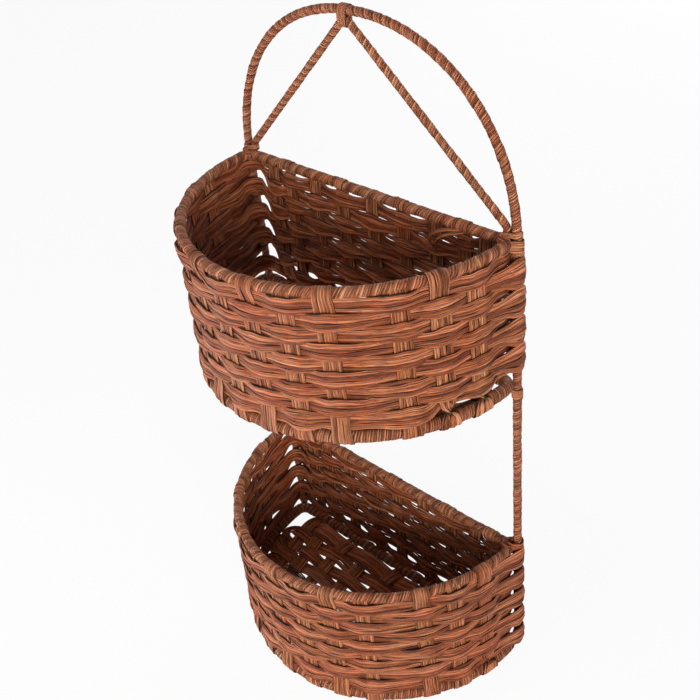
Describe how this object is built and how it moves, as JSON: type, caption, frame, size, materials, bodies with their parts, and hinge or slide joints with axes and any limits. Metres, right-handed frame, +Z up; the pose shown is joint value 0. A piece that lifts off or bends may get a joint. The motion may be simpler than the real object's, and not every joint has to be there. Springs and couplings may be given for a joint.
{
  "type": "tiered hanging basket",
  "caption": "Tiered wall basket woven from flat cord: half-round baskets hang one above the other on a wound wire hoop with a V-shaped brace.",
  "frame": {"origin": "on the ground in the middle of the outer box, under the lower basket", "axes": "+Z up along the posts; +Y towards the wall that the flat backs face, so the round fronts face -Y; +X from the left post to the right post as seen from the front"},
  "size_m": [0.2724, 0.1544, 0.5288],
  "materials": {
    "wound_rod": "cord wound tightly round wire, satin",
    "stake": "flat bundles of crinkled cord, satin",
    "weaver": "flat bundles of crinkled cord, satin",
    "binding": "single cord, satin"
  },
  "bodies": {
    "root": {"hoop_and_posts": "wound_rod", "v_brace": "wound_rod", "upper_top_ring": "wound_rod", "upper_bottom_ring": "wound_rod", "upper_weaver_1": "weaver", "upper_weaver_2": "weaver", "upper_weaver_3": "weaver", "upper_weaver_4": "weaver", "upper_weaver_5": "weaver", "upper_weaver_6": "weaver", "upper_weaver_7": "weaver", "upper_weaver_8": "weaver", "upper_weaver_9": "weaver", "upper_stake_1": "stake", "upper_stake_2": "stake", "upper_stake_3": "stake", "upper_stake_4": "stake", "upper_stake_5": "stake", "upper_stake_6": "stake", "upper_stake_7": "stake", "upper_stake_8": "stake", "upper_stake_9": "stake", "upper_side_stake_1": "stake", "upper_side_stake_2": "stake", "upper_floor_weaver_back": "weaver", "upper_floor_weaver_front": "weaver", "lower_top_ring": "wound_rod", "lower_bottom_ring": "wound_rod", "lower_weaver_1": "weaver", "lower_weaver_2": "weaver", "lower_weaver_3": "weaver", "lower_weaver_4": "weaver", "lower_weaver_5": "weaver", "lower_weaver_6": "weaver", "lower_weaver_7": "weaver", "lower_weaver_8": "weaver", "lower_weaver_9": "weaver", "lower_stake_1": "stake", "lower_stake_2": "stake", "lower_stake_3": "stake", "lower_stake_4": "stake", "lower_stake_5": "stake", "lower_stake_6": "stake", "lower_stake_7": "stake", "lower_stake_8": "stake", "lower_stake_9": "stake", "lower_side_stake_1": "stake", "lower_side_stake_2": "stake", "lower_floor_weaver_back": "weaver", "lower_floor_weaver_front": "weaver", "apex_binding": "binding", "upper_top_lashing_left": "binding", "upper_bottom_lashing_left": "binding", "lower_top_lashing_left": "binding", "lower_bottom_lashing_left": "binding", "upper_top_lashing_right": "binding", "upper_bottom_lashing_right": "binding", "lower_top_lashing_right": "binding", "lower_bottom_lashing_right": "binding"}
  },
  "joints": []
}
